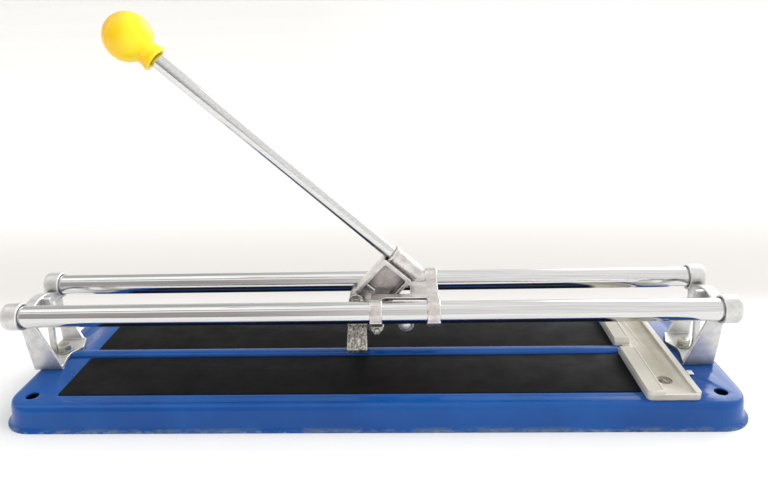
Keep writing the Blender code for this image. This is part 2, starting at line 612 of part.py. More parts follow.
def make_foot(parts, tools):
    """The breaker foot: a two-eared stem over a pair of sloping wings, relieved above the ridge."""
    kx, _, kz = lever_point(*KNUCKLE)
    rings = []
    for y, low, half in ((-20, 29.6, 7.6), (-19.2, 29.6, 7.6), (-13, 29.6, 7.3), (-9.4, 34.6, 6.9), (-7.6, 35.4, 6.6),
                         (-3, 36.4, 6.6), (3, 36.4, 6.6), (7.6, 35.4, 6.6), (9.4, 34.6, 6.9), (13, 29.6, 7.3),
                         (19.2, 29.6, 7.6), (20, 29.6, 7.6)):
        wide, top = half * MM, foot_top(abs(y)) * MM
        corners = ((kx - wide, low * MM), (kx + wide, low * MM), (kx + wide, top), (kx - wide, top))
        rings.append([(x, y * MM, z) for x, z in corners])
    foot = skin("breaker_foot", rings, parts)
    stem = [(kx - 6 * MM, kz), (kx - 6.2 * MM, 54 * MM), (kx - 6.4 * MM, 46 * MM), (kx + 6.4 * MM, 46 * MM),
            (kx + 6.2 * MM, 54 * MM), (kx + 6 * MM, kz)]
    for k in range(1, 12):
        angle = math.pi * k / 12
        stem.append((kx + 6 * MM * math.cos(angle), kz + 6 * MM * math.sin(angle)))
    join(foot, prism("foot_stem", stem, "Y", (-FOOT_EAR_Y[1], FOOT_EAR_Y[1]), tools))
    for end in (-1, 1):
        rings = []
        for y, half, proud in ((6.4, 0.65, 1.2), (9.4, 0.75, 1.2), (13, 1.1, 1.2), (15.8, 1.4, 1.1), (17.2, 0.9, 0.5)):
            top = foot_top(y) * MM
            corners = ((kx - half * MM, top - MM), (kx + half * MM, top - MM),
                       (kx + half * MM, top + proud * MM), (kx - half * MM, top + proud * MM))
            rings.append([(x, end * y * MM, z) for x, z in corners])
        join(foot, skin(f"foot_rib_{end}", rings, tools))
    gap_half = FOOT_EAR_Y[0]
    cheek = (53.2 * MM, 80 * MM)
    cut(foot, block("ear_gap", (kx - 12 * MM, kx + 12 * MM), (-gap_half, gap_half), cheek, tools))
    cut(foot, rod("foot_bore", PIN_RADIUS + 0.08 * MM, (-20 * MM, 20 * MM), (kx, 0, kz), (0, 1, 0), tools, 32))
    return foot


def make_wheel_set(parts, tools):
    """The scoring wheel, its shouldered screw and the nut behind the arm."""
    centre = lever_point(*WHEEL)
    rim = WHEEL_RADIUS
    profile = [(2.08 * MM, -WHEEL_HALF), (rim - 1.3 * MM, -WHEEL_HALF), (rim, -0.12 * MM), (rim, 0.12 * MM),
               (rim - 1.3 * MM, WHEEL_HALF), (2.08 * MM, WHEEL_HALF)]
    wheel = turned("scoring_wheel", profile, centre, (0, 1, 0), parts, 48, True)
    head = [(0, -4.1 * MM), (1.4 * MM, -4.1 * MM), (2.6 * MM, -3.5 * MM), (3.2 * MM, -2.2 * MM),
            (3.2 * MM, -1.4 * MM), (2 * MM, -1.4 * MM), (2 * MM, 9.4 * MM), (1.7 * MM, 9.8 * MM), (0, 9.8 * MM)]
    screw = turned("wheel_screw", head, centre, (0, 1, 0), parts, 32)
    nut = make_nut("wheel_nut", 7 * MM, 2.3 * MM, (WHEEL_ARM_Y[1] + GAP, WHEEL_ARM_Y[1] + 3.3 * MM),
                   centre, (0, 1, 0), parts, tools)
    return wheel, screw, nut


def main():
    clear_scene()
    parts = bpy.data.collections.new("tile_cutter")
    tools = bpy.data.collections.new("cutters")
    for home in (parts, tools):
        bpy.context.scene.collection.children.link(home)
    finish = {name: make_finish(name) for name in FINISHES}
    up = (0, 0, 1)

    dress(make_base(parts, tools), finish["blue_paint"], 40)
    for side, label in ((-1, "front"), (1, "rear")):
        dress(make_pad(label, side, parts), finish["black_rubber"])
        centre = (0, side * RAIL_Y, RAIL_Z)
        rail = rod(f"rail_{label}", RAIL_RADIUS, (-RAIL_END, RAIL_END), centre, (1, 0, 0), parts, edge=0.6 * MM)
        dress(rail, finish["chrome"], 40)
        hole = (FENCE_SCREW_X, FENCE_SCREW_Y[label], 0)
        head = [(0, 5 * MM), (1.6 * MM, 5 * MM), (2 * MM, 5.4 * MM), (2 * MM, 20.8 * MM), (3.6 * MM, 20.8 * MM),
                (3.6 * MM, 21.2 * MM), (2.8 * MM, 21.8 * MM), (1.2 * MM, 22 * MM), (0, 22 * MM)]
        dress(turned(f"fence_screw_{label}", head, hole, up, parts, 32), finish["zinc_steel"], 40)
        nut = make_nut(f"fence_nut_{label}", 7 * MM, 2.3 * MM, (13.9 * MM, 17.4 * MM), hole, up, parts, tools)
        dress(nut, finish["zinc_steel"])
    for side, label in ((-1, "left"), (1, "right")):
        dress(make_bracket(label, side, parts, tools), finish["die_cast"], 40)
        hole = (side * BRACKET_BOLT_U, 0, 0)
        floor_top = BRACKET_FOOT_Z + BRACKET_FLOOR
        washer = make_ring(f"bracket_washer_{label}", 5.1 * MM, 3.2 * MM,
                           (floor_top + 0.2 * MM, floor_top + 1.2 * MM), hole, up, parts)
        dress(washer, finish["zinc_steel"], 40)
        bolt = make_bolt(f"bracket_bolt_{label}", 2.9 * MM, 8.2 * MM, (floor_top + 1.4 * MM, floor_top + 6 * MM),
                         6 * MM, hole, up, parts, tools)
        dress(bolt, finish["zinc_steel"])
        nut = make_nut(f"bracket_nut_{label}", 10 * MM, 3.2 * MM, (12.4 * MM, 17.4 * MM), hole, up, parts, tools)
        dress(nut, finish["zinc_steel"])
    dress(make_fence(parts, tools), finish["beige_plastic"], 40)

    pivot = (PIVOT[0], 0, PIVOT[1])
    forward = (0, -1, 0)
    dress(make_carriage(parts, tools), finish["die_cast"], 40)
    ear = EAR_Y[1]
    bolt = make_bolt("pivot_bolt", PIVOT_BOLT_RADIUS, 7 * MM, (-ear - 4.5 * MM, -ear - 1.4 * MM), ear + 6.2 * MM,
                     pivot, forward, parts, tools)
    dress(bolt, finish["zinc_steel"])
    for side, label in ((1, "front"), (-1, "rear")):
        span = tuple(sorted((side * (ear + 0.2 * MM), side * (ear + 1.2 * MM))))
        washer = make_ring(f"pivot_washer_{label}", 4.3 * MM, 2.3 * MM, span, pivot, forward, parts)
        dress(washer, finish["zinc_steel"], 40)
    nut = make_nut("pivot_nut", 7 * MM, 2.3 * MM, (ear + 1.4 * MM, ear + 5.4 * MM), pivot, forward, parts, tools)
    dress(nut, finish["zinc_steel"])

    along = (E1[0], 0, E1[1])
    dress(make_lever(parts, tools), finish["die_cast"], 40, pivot)
    bar = rod("handle_rod", ROD_RADIUS, ROD_SPAN, lever_point(0, SLEEVE_E2), along, parts, edge=0.6 * MM)
    dress(bar, finish["chrome"], 40, pivot)
    dress(make_knob(parts, tools), finish["yellow_plastic"], 40, pivot)
    knuckle = lever_point(*KNUCKLE)
    dress(make_foot(parts, tools), finish["die_cast"], 40, knuckle)
    pin_profile = [(0, -8.8 * MM), (2.8 * MM, -8.8 * MM), (3.2 * MM, -8.4 * MM), (3.2 * MM, -7.7 * MM),
                   (2.5 * MM, -7.7 * MM), (2.5 * MM, 10 * MM), (2.2 * MM, 10.3 * MM), (0, 10.3 * MM)]
    dress(turned("foot_pin", pin_profile, knuckle, (0, 1, 0), parts, 32), finish["zinc_steel"], 40, knuckle)
    clip = make_ring("foot_clip", 4.2 * MM, 2.8 * MM, (7.7 * MM, 8.6 * MM), knuckle, (0, 1, 0), parts)
    dress(clip, finish["zinc_steel"], 40, knuckle)
    wheel, screw, nut = make_wheel_set(parts, tools)
    centre = lever_point(*WHEEL)
    dress(wheel, finish["hard_steel"], 30, centre)
    dress(screw, finish["zinc_steel"], 40, centre)
    dress(nut, finish["zinc_steel"], None, centre)

    tools.hide_render = True
    for helper in tools.objects:
        helper.hide_render = True
        helper.display_type = "WIRE"


main()
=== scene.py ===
"""Looks of a twin-rail manual tile cutter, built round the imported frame. Lengths are in millimetres."""

import json
import math

import bmesh
import bpy
from mathutils import Matrix, Vector

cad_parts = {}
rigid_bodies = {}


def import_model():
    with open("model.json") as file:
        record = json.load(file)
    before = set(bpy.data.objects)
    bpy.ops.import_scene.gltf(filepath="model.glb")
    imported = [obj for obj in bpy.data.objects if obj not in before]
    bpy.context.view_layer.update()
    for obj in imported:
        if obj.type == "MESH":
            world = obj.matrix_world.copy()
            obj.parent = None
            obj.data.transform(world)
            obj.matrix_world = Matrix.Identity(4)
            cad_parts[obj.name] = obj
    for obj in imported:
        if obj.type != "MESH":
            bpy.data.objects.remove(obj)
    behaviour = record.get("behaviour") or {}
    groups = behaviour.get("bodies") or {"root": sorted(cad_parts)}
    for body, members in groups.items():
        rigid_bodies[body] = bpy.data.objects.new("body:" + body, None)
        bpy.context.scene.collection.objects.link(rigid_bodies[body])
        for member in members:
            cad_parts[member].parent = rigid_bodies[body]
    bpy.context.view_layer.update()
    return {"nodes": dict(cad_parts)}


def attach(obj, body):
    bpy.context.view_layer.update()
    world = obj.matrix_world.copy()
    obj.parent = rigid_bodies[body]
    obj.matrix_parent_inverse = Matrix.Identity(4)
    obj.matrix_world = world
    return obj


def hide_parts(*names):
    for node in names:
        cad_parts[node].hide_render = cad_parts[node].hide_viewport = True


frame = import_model()

MM = 0.001
SCENE = bpy.context.scene

# Camera: where the photographer stood, with the tilt and turn of the view.
CAMERA_PLACE = (33.58, -448.14, 267.36)
CAMERA_PITCH, CAMERA_YAW, CAMERA_ROLL = (math.radians(angle) for angle in (19.14, 2.443, -1.692))
CAMERA_LENS = 30.47

# Base pan.
PAN_SHIFT = 3.65
PAN_HALF = (260, 76.75)
PAN_CORNER = 24
PAN_TOP = 19
SHEET = 1.2
WELL_FLOOR = 17
WELL_X = (-217.5, 190.0)
WELL_Y = (5.5, 58.7)
RIDGE_X = (-222, 194)
RIDGE_HALF = 5.3
RIDGE_HEIGHT = 2.8
SCREW_X = 208.4
SCREWS_Y = (-48.2, 56)
PAD_X = (-217.1, 189.7)
PAD_Y = (5.9, 58.4)
PAD_Z = (17.3, 19.5)

# Rails, handle and pivot.
RAIL_RADIUS = 8
RAIL_Y = 29.4
RAIL_Z = 66.8
RAIL_END = 258
RING_SPANS = ((4, 13.1), (44.6, 54.2))
RING_RADIUS = 10
PIVOT = Vector((8.4, 0, 51))
E1 = Vector((-0.7396, 0, 0.6731))
E2 = Vector((0.6731, 0, 0.7396))
SLEEVE_E2 = 44.5
ROD_RADIUS = 5
ROD_SPAN = (1.8, 258)
KNOB_E1 = 258
KNOB_RADIUS = 16.5


# ---------------------------------------------------------------- mesh helpers

def place_object(name, mesh):
    obj = bpy.data.objects.new(name, mesh)
    SCENE.collection.objects.link(obj)
    return obj


def close_mesh(name, builder):
    """The builder's mesh, welded, facing out and in metres."""
    bmesh.ops.remove_doubles(builder, verts=builder.verts, dist=0.001)
    bmesh.ops.recalc_face_normals(builder, faces=builder.faces)
    bmesh.ops.scale(builder, vec=(MM, MM, MM), verts=builder.verts)
    mesh = bpy.data.meshes.new(name)
    builder.to_mesh(mesh)
    builder.free()
    return place_object(name, mesh)


def skin(name, rings, looped=False):
    """A closed body through rings of the same count, capped at its ends or joined end to end."""
    builder = bmesh.new()
    loops = [[builder.verts.new(point) for point in ring] for ring in rings]
    pairs = list(zip(loops, loops[1:]))
    if looped:
        pairs.append((loops[-1], loops[0]))
    for low, high in pairs:
        for i in range(len(low)):
            j = (i + 1) % len(low)
            builder.faces.new((low[i], low[j], high[j], high[i]))
    if not looped:
        builder.faces.new(loops[0])
        builder.faces.new(loops[-1])
    return close_mesh(name, builder)


def fillet(points, radii, steps=8):
    """The outline with each corner turned into an arc of its radius."""
    outline = []
    for i, (corner, radius) in enumerate(zip(points, radii)):
        here = Vector(corner)
        if radius <= 0:
            outline.append(tuple(here))
            continue
        back = Vector(points[i - 1]) - here
        on = Vector(points[(i + 1) % len(points)]) - here
        half = back.angle(on) / 2
        reach = min(radius / math.tan(half), 0.48 * back.length, 0.48 * on.length)
        radius = reach * math.tan(half)
        centre = here + (back.normalized() + on.normalized()).normalized() * (radius / math.sin(half))
        first = here + back.normalized() * reach - centre
        last = here + on.normalized() * reach - centre
        start = math.atan2(first.y, first.x)
        sweep = (math.atan2(last.y, last.x) - start + math.pi) % (2 * math.pi) - math.pi
        for k in range(steps + 1):
            angle = start + sweep * k / steps
            outline.append((centre.x + radius * math.cos(angle), centre.y + radius * math.sin(angle)))
    return outline


def prism(name, outline, across, span):
    """An outline pushed along the axis named by across; the outline holds the other two coordinates."""
    place = {
        "X": lambda point, level: (level, point[0], point[1]),
        "Y": lambda point, level: (point[0], level, point[1]),
        "Z": lambda point, level: (point[0], point[1], level),
    }[across]
    return skin(name, [[place(point, level) for point in outline] for level in span])


def block(name, x, y, z):
    return prism(name, ((x[0], y[0]), (x[1], y[0]), (x[1], y[1]), (x[0], y[1])), "Z", z)


def turned(name, profile, centre, direction, steps=96, ring=False):
    """A body turned about the direction; profile points are (radius, distance along)."""
    turn = Vector((0, 0, 1)).rotation_difference(Vector(direction)).to_matrix().to_4x4()
    home = Matrix.Translation(Vector(centre)) @ turn
    builder = bmesh.new()
    rings = []
    for radius, along in profile:
        count = 1 if radius == 0 else steps
        turns = [2 * math.pi * k / steps for k in range(count)]
        rings.append([builder.verts.new(home @ Vector((radius * math.cos(a), radius * math.sin(a), along)))
                      for a in turns])
    pairs = list(zip(rings, rings[1:]))
    if ring:
        pairs.append((rings[-1], rings[0]))
    for one, other in pairs:
        for k in range(steps):
            m = (k + 1) % steps
            if len(one) == 1:
                builder.faces.new((one[0], other[m], other[k]))
            elif len(other) == 1:
                builder.faces.new((one[k], one[m], other[0]))
            else:
                builder.faces.new((one[k], one[m], other[m], other[k]))
    return close_mesh(name, builder)


def curve_through(points, steps=4):
    """Points along a Catmull-Rom curve through the given ones."""
    path = [Vector(point) for point in points]
    path = [path[0], *path, path[-1]]
    fine = []
    for a, b, c, d in zip(path, path[1:], path[2:], path[3:]):
        for k in range(steps):
            t = k / steps
            fine.append(0.5 * (2 * b + (c - a) * t + (2 * a - 5 * b + 4 * c - d) * t * t
                               + (3 * b - a - 3 * c + d) * t ** 3))
    return [tuple(point) for point in [*fine, path[-1]]]


def settle(obj):
    """Turns the modifiers into the mesh itself."""
    graph = bpy.context.evaluated_depsgraph_get()
    graph.update()
    mesh = bpy.data.meshes.new_from_object(obj.evaluated_get(graph))
    obj.modifiers.clear()
    old = obj.data
    obj.data = mesh
    bpy.data.meshes.remove(old)
    return obj


def combine(target, others, operation):
    for other in others:
        change = target.modifiers.new(operation.lower(), "BOOLEAN")
        change.operation = operation
        change.solver = "EXACT"
        change.object = other
    settle(target)
    for other in others:
        bpy.data.objects.remove(other, do_unlink=True)
    return target


def join(target, *others):
    return combine(target, others, "UNION")


def cut(target, *others):
    return combine(target, others, "DIFFERENCE")


def soften(obj, width, segments=2, limit=30):
    """Rounds the edges sharper than the limit."""
    change = obj.modifiers.new("soft_edges", "BEVEL")
    change.width = width * MM
    change.segments = segments
    change.limit_method = "ANGLE"
    change.angle_limit = math.radians(limit)
    change.use_clamp_overlap = True
    return settle(obj)


def shade(obj, limit=40):
    obj.data.shade_smooth()
    obj.data.set_sharp_from_angle(angle=math.radians(limit))
    return obj


def traced(node, name):
    """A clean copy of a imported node's mesh, with its triangles on one plane made one face."""
    builder = bmesh.new()
    builder.from_mesh(frame["nodes"][node].data)
    bmesh.ops.remove_doubles(builder, verts=builder.verts, dist=1e-6)
    bmesh.ops.dissolve_limit(builder, angle_limit=math.radians(1), verts=builder.verts, edges=builder.edges)
    mesh = bpy.data.meshes.new(name)
    builder.to_mesh(mesh)
    builder.free()
    return place_object(name, mesh)


def machined(node, width=0.15):
    """Hardware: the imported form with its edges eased."""
    return shade(soften(traced(node, f"{node}_piece"), width))


def cast(node, voxel, rounds, extras=()):
    """A casting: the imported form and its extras, with the soft edges and fillets of a mould."""
    piece = traced(node, f"{node}_piece")
    if extras:
        join(piece, *extras)
    change = piece.modifiers.new("skin", "REMESH")
    change.mode = "VOXEL"
    change.voxel_size = voxel * MM
    change = piece.modifiers.new("ease", "SMOOTH")
    change.factor = 0.5
    change.iterations = rounds
    settle(piece)
    piece.data.shade_smooth()
    return piece


# ---------------------------------------------------------------- materials

class Look:
    """A Principled material, with helpers that chain its nodes."""

    def __init__(self, name, metallic=0.0, roughness=0.5):
        self.material = bpy.data.materials.new(name)
        self.material.use_nodes = True
        self.tree = self.material.node_tree
        self.shader = self.tree.nodes["Principled BSDF"]
        self.shader.inputs["Metallic"].default_value = metallic
        self.shader.inputs["Roughness"].default_value = roughness
        self.spot = self.tree.nodes.new("ShaderNodeTexCoord").outputs["Object"]

    def feed(self, socket, value):
        if isinstance(value, bpy.types.NodeSocket):
            self.tree.links.new(value, socket)
        elif isinstance(value, (tuple, list)) and len(value) == 3 and socket.type == "RGBA":
            socket.default_value = (*value, 1)
        else:
            socket.default_value = value

    def node(self, kind, values, **settings):
        made = self.tree.nodes.new(kind)
        for key, value in settings.items():
            setattr(made, key, value)
        for key, value in values.items():
            self.feed(made.inputs[key], value)
        return made

    def mapped(self, stretch=(1, 1, 1), turn=(0, 0, 0), shift=(0, 0, 0)):
        values = {"Vector": self.spot, "Scale": stretch, "Rotation": turn, "Location": shift}
        return self.node("ShaderNodeMapping", values).outputs[0]

    def noise(self, size, detail=4, rough=0.55, stretch=(1, 1, 1), turn=(0, 0, 0), shift=(0, 0, 0)):
        """Cloudy noise whose blobs are about size millimetres across."""
        values = {"Vector": self.mapped(stretch, turn, shift), "Scale": 1000 / size,
                  "Detail": detail, "Roughness": rough}
        return self.node("ShaderNodeTexNoise", values).outputs["Fac"]

    def cells(self, size, stretch=(1, 1, 1), turn=(0, 0, 0), feature="F1"):
        values = {"Vector": self.mapped(stretch, turn), "Scale": 1000 / size}
        return self.node("ShaderNodeTexVoronoi", values, feature=feature).outputs["Distance"]

    def ease(self, value, low, high, first=0.0, last=1.0):
        values = {"Value": value, "From Min": low, "From Max": high, "To Min": first, "To Max": last}
        return self.node("ShaderNodeMapRange", values, interpolation_type="SMOOTHSTEP").outputs[0]

    def maths(self, operation, one, other=0.0):
        values = {0: one, 1: other}
        return self.node("ShaderNodeMath", values, operation=operation, use_clamp=False).outputs[0]

    def mix(self, share, one, other, blend="MIX"):
        made = self.tree.nodes.new("ShaderNodeMix")
        made.data_type = "RGBA"
        made.blend_type = blend
        self.feed(made.inputs[0], share)
        self.feed(made.inputs[6], one)
        self.feed(made.inputs[7], other)
        return made.outputs[2]

    def axis(self, letter):
        return self.node("ShaderNodeSeparateXYZ", {0: self.spot}).outputs[letter]

    def edges(self, low, high):
        """High edges, or hollows when low is above high, from the mesh's own curvature; used for painted edge
        highlights, edge wear and painted crease shade.
        """
        return self.ease(self.node("ShaderNodeNewGeometry", {}).outputs["Pointiness"], low, high)

    def facing(self, letter):
        """How far the surface itself faces along an axis of the world."""
        normal = self.node("ShaderNodeNewGeometry", {}).outputs["Normal"]
        return self.node("ShaderNodeSeparateXYZ", {0: normal}).outputs[letter]

    def relief(self, *layers):
        """Bumps from (height, depth in millimetres) layers."""
        normal = None
        for height, depth in layers:
            values = {"Height": height, "Distance": depth * MM, "Strength": 1.0}
            if normal is not None:
                values["Normal"] = normal
            normal = self.node("ShaderNodeBump", values).outputs[0]
        self.feed(self.shader.inputs["Normal"], normal)

    def done(self, colour, **inputs):
        self.feed(self.shader.inputs["Base Color"], colour)
        for key, value in inputs.items():
            self.feed(self.shader.inputs[key.replace("_", " ")], value)
        return self.material


def paint_look():
    """Blue enamel, chipped and dusty along the rolled rim."""
    look = Look("blue_enamel")
    cloud = look.noise(60, 5)
    blue = look.mix(look.ease(cloud, 0.35, 0.7), (0.0015, 0.062, 0.275), (0.003, 0.082, 0.335))
    low = look.ease(look.axis("Z"), 0.0016, 0.0042, 1.0, 0.0)
    dirt = look.maths("MULTIPLY", low, look.ease(look.noise(9, 6, 0.7, (0.35, 1, 1)), 0.42, 0.62))
    blue = look.mix(look.maths("MULTIPLY", dirt, 0.7), blue, (0.11, 0.15, 0.20))
    chip = look.maths("MULTIPLY", look.ease(look.axis("Z"), 0.0008, 0.0022, 1.0, 0.0),
                      look.ease(look.noise(3.2, 5, 0.7, (0.5, 1, 1)), 0.5, 0.6))
    blue = look.mix(chip, blue, (0.13, 0.21, 0.34))
    speck = look.ease(look.cells(2.6), 0.045, 0.09, 1.0, 0.0)
    rare = look.ease(look.noise(24, 3), 0.58, 0.68)
    blue = look.mix(look.maths("MULTIPLY", look.maths("MULTIPLY", speck, rare), 0.55), blue, (0.35, 0.42, 0.55))
    grain = look.noise(1.1, 2)
    look.relief((look.noise(5, 2), 0.03), (grain, 0.006))
    rough = look.maths("ADD", look.ease(look.noise(30, 5), 0.3, 0.7, 0.13, 0.22), look.maths("MULTIPLY", dirt, 0.3))
    return look.done(blue, Roughness=rough, Specular_IOR_Level=0.32)


def rubber_look():
    """Closed-cell foam rubber: matte black, with dust specks and faint drag marks."""
    look = Look("foam_rubber")
    base = look.mix(look.ease(look.noise(45, 5), 0.3, 0.7), (0.0030, 0.0026, 0.0028), (0.0062, 0.0052, 0.0054))
    specks = look.ease(look.cells(3.0), 0.035, 0.07, 1.0, 0.0)
    some = look.ease(look.noise(14, 3), 0.5, 0.62)
    base = look.mix(look.maths("MULTIPLY", look.maths("MULTIPLY", specks, some), 0.4), base, (0.16, 0.15, 0.14))
    drags = look.ease(look.noise(2.2, 3, 0.6, (0.05, 1, 1), (0, 0, 0.5)), 0.66, 0.74)
    base = look.mix(look.maths("MULTIPLY", drags, 0.22), base, (0.05, 0.05, 0.055))
    look.relief((look.noise(1.3, 3), 0.05), (look.cells(0.5), 0.02))
    return look.done(base, Roughness=look.ease(look.noise(20, 4), 0.3, 0.7, 0.45, 0.6),
                     Specular_IOR_Level=0.10)


def bright_bar_look(name, turn):
    """Bright drawn steel bar, with hair lines along it and a few dull spots."""
    look = Look(name, metallic=1.0)
    lines = look.noise(0.7, 3, 0.6, (0.012, 1, 1), turn)
    smear = look.noise(26, 5, 0.6, (0.5, 1, 1), turn)
    tone = look.mix(look.ease(lines, 0.35, 0.65), (0.63, 0.63, 0.62), (0.74, 0.74, 0.735))
    spots = look.maths("MULTIPLY", look.ease(look.cells(3.4), 0.05, 0.12, 1.0, 0.0),
                       look.ease(look.noise(11, 4), 0.55, 0.66))
    tone = look.mix(look.maths("MULTIPLY", spots, 0.6), tone, (0.28, 0.25, 0.22))
    look.relief((lines, 0.002))
    rough = look.maths("ADD", look.ease(smear, 0.35, 0.7, 0.07, 0.16), look.maths("MULTIPLY", spots, 0.3))
    return look.done(tone, Roughness=rough)


def casting_look(name, body, shadow, edge, rough, metal=1.0, depth=0.16, grain=0.05):
    """Die-cast metal: grainy skin, random stains, painted shade in hollows and corners, and edges rubbed bright with a
    painted highlight.
    """
    look = Look(name, metallic=metal)
    cloud = look.ease(look.noise(9, 5, 0.65), 0.3, 0.72)
    tone = look.mix(cloud, shadow, body)
    stain = look.ease(look.noise(3.2, 4, 0.7), 0.6, 0.75)
    tone = look.mix(look.maths("MULTIPLY", stain, 0.35), tone, tuple(0.5 * part for part in shadow))
    # Painted shade: the colour is darkened where ambient occlusion finds nearby surfaces, in corners and recesses.
    ao_painted_shade = look.node("ShaderNodeAmbientOcclusion", {"Distance": 9 * MM}, samples=6, only_local=False).outputs["AO"]
    tone = look.mix(look.ease(ao_painted_shade, 0.3, 0.98), tuple(depth * part for part in shadow), tone)
    # Edges rubbed bright: partly edge wear, partly a painted highlight along convex edges.
    rubbed_lit_edges = look.edges(0.51, 0.545)
    tone = look.mix(rubbed_lit_edges, tone, edge)
    # Painted shade: creases and inner corners are darkened.
    hollow = look.edges(0.485, 0.43)
    tone = look.mix(look.maths("MULTIPLY", hollow, 0.6), tone, tuple(0.35 * part for part in shadow))
    skin_grain = look.noise(0.55, 3, 0.6)
    look.relief((look.noise(2.4, 3), grain), (skin_grain, 0.4 * grain))
    low, high = rough
    value = look.maths("SUBTRACT", look.ease(look.noise(5, 4), 0.3, 0.7, low, high), look.maths("MULTIPLY", rubbed_lit_edges, 0.12))
    return look.done(tone, Roughness=value)


def foot_look():
    """The breaker foot: the same metal, polished by use in streaks that run down it."""
    look = Look("rubbed_casting", metallic=0.95)
    streaks = look.noise(1.3, 4, 0.65, (1, 1, 0.12))
    tone = look.mix(look.ease(streaks, 0.36, 0.62), (0.20, 0.19, 0.155), (0.74, 0.72, 0.66))
    tone = look.mix(look.maths("MULTIPLY", look.ease(look.noise(6, 4), 0.45, 0.7), 0.4), tone, (0.16, 0.15, 0.12))
    # Painted highlight along convex edges, partly edge wear: they are mixed to near white.
    tone = look.mix(look.edges(0.51, 0.54), tone, (0.98, 0.97, 0.94))
    look.relief((streaks, 0.10), (look.noise(0.6, 3), 0.02))
    return look.done(tone, Roughness=look.ease(look.noise(3, 4), 0.3, 0.7, 0.16, 0.32))


def zinc_look(name, pale, warm, metal=1.0):
    """Zinc-plated steel, faintly yellow in patches."""
    look = Look(name, metallic=metal)
    tone = look.mix(look.ease(look.noise(3, 4, 0.6), 0.35, 0.65), pale, warm)
    # Painted highlight: convex edges are mixed toward near white.
    tone = look.mix(look.maths("MULTIPLY", look.edges(0.52, 0.6), 0.7), tone, (0.9, 0.9, 0.86))
    tone = look.mix(look.maths("MULTIPLY", look.ease(look.noise(0.9, 3), 0.62, 0.72), 0.5), tone, (0.12, 0.11, 0.10))
    look.relief((look.noise(0.5, 2), 0.012))
    return look.done(tone, Roughness=look.ease(look.noise(1.6, 3), 0.3, 0.7, 0.24, 0.42))


def beige_look():
    """Beige moulded plastic, finely grained, lighter along its raised strip."""
    look = Look("beige_moulding")
    tone = look.mix(look.ease(look.noise(14, 5, 0.6), 0.3, 0.7), (0.40, 0.365, 0.285), (0.475, 0.44, 0.355))
    height = look.ease(look.axis("Z"), 0.0226, 0.0236)
    tone = look.mix(look.maths("MULTIPLY", height, 0.75), tone, (0.66, 0.63, 0.56))
    grime = look.ease(look.noise(2.2, 5, 0.7), 0.56, 0.7)
    tone = look.mix(look.maths("MULTIPLY", grime, 0.28), tone, (0.30, 0.27, 0.21))
    # Painted shade: creases and inner corners are darkened.
    tone = look.mix(look.maths("MULTIPLY", look.edges(0.49, 0.44), 0.7), tone, (0.30, 0.27, 0.21))
    # Painted highlight: convex edges are lightened.
    tone = look.mix(look.maths("MULTIPLY", look.edges(0.515, 0.56), 0.5), tone, (0.78, 0.77, 0.72))
    look.relief((look.noise(0.8, 3), 0.02), (look.noise(4, 2), 0.03))
    return look.done(tone, Roughness=look.ease(look.noise(6, 4), 0.3, 0.7, 0.42, 0.58), Subsurface_Weight=0.0)


def yellow_look():
    """Glossy yellow ball: deep colour, painted light on the side facing +X, faint flow lines and one rubbed patch."""
    look = Look("yellow_gloss")
    tone = look.mix(look.ease(look.noise(16, 3), 0.3, 0.7), (0.93, 0.55, 0.002), (0.97, 0.64, 0.005))
    # Painted light: the side facing +X is mixed to a lighter yellow, while the side facing -X stays deep orange.
    tone = look.mix(look.ease(look.facing("X"), -0.35, 0.55), tone, (0.98, 0.78, 0.015))
    rub = look.ease(look.noise(5, 5, 0.7), 0.66, 0.76)
    tone = look.mix(look.maths("MULTIPLY", rub, 0.35), tone, (0.70, 0.40, 0.02))
    look.relief((look.noise(7, 2), 0.03), (look.noise(0.8, 2), 0.004))
    rough = look.maths("ADD", look.ease(look.noise(12, 4), 0.3, 0.7, 0.16, 0.26), look.maths("MULTIPLY", rub, 0.2))
    return look.done(tone, Roughness=rough, Specular_IOR_Level=0.45)


def wheel_look():
    look = Look("ground_steel", metallic=0.6)
    rings = look.noise(0.5, 2, 0.5)
    tone = look.mix(look.ease(rings, 0.35, 0.65), (0.10, 0.10, 0.105), (0.18, 0.18, 0.19))
    # Painted highlight: the rim and other convex edges are mixed to near white.
    tone = look.mix(look.edges(0.505, 0.53), tone, (0.96, 0.96, 0.96))
    look.relief((rings, 0.008))
    return look.done(tone, Roughness=look.ease(look.noise(2, 3), 0.3, 0.7, 0.22, 0.4))


ROD_TURN = (0, math.atan2(E1.z, -E1.x) - math.pi, 0)
LOOKS = {
    "blue_paint": paint_look(),
    "black_rubber": rubber_look(),
    "chrome": bright_bar_look("bright_bar", (0, 0, 0)),
    "chrome_rod": bright_bar_look("bright_rod", ROD_TURN),
    "die_cast": casting_look("bright_casting", (0.80, 0.79, 0.77), (0.60, 0.59, 0.57), (0.97, 0.97, 0.96), (0.36, 0.48), 0.7, 0.3),
    "die_cast_satin": casting_look("satin_casting", (0.80, 0.755, 0.73), (0.56, 0.52, 0.50), (0.99, 0.98, 0.97),
                                   (0.24, 0.36), 0.9),
    "foot_casting": foot_look(),
    "zinc_steel": zinc_look("zinc_plate", (0.56, 0.57, 0.52), (0.42, 0.42, 0.32)),
    # Painted light: a paler, less metallic copy of the zinc plate, so these small parts read as lit.
    "zinc_bright": zinc_look("zinc_painted_lit", (0.95, 0.96, 0.96), (0.86, 0.87, 0.86), 0.35),
    "zinc_dull": zinc_look("zinc_dull", (0.26, 0.25, 0.20), (0.16, 0.15, 0.11)),
    "beige_plastic": beige_look(),
    "yellow_plastic": yellow_look(),
    "hard_steel": wheel_look(),
}


def enlist(piece, body, slot, look=None, *nodes):
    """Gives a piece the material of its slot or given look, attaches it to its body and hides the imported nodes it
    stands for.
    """
    piece.data.materials.clear()
    piece.data.materials.append(LOOKS[look or slot])
    for node in nodes:
        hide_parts(node)
    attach(piece, body)
    return piece


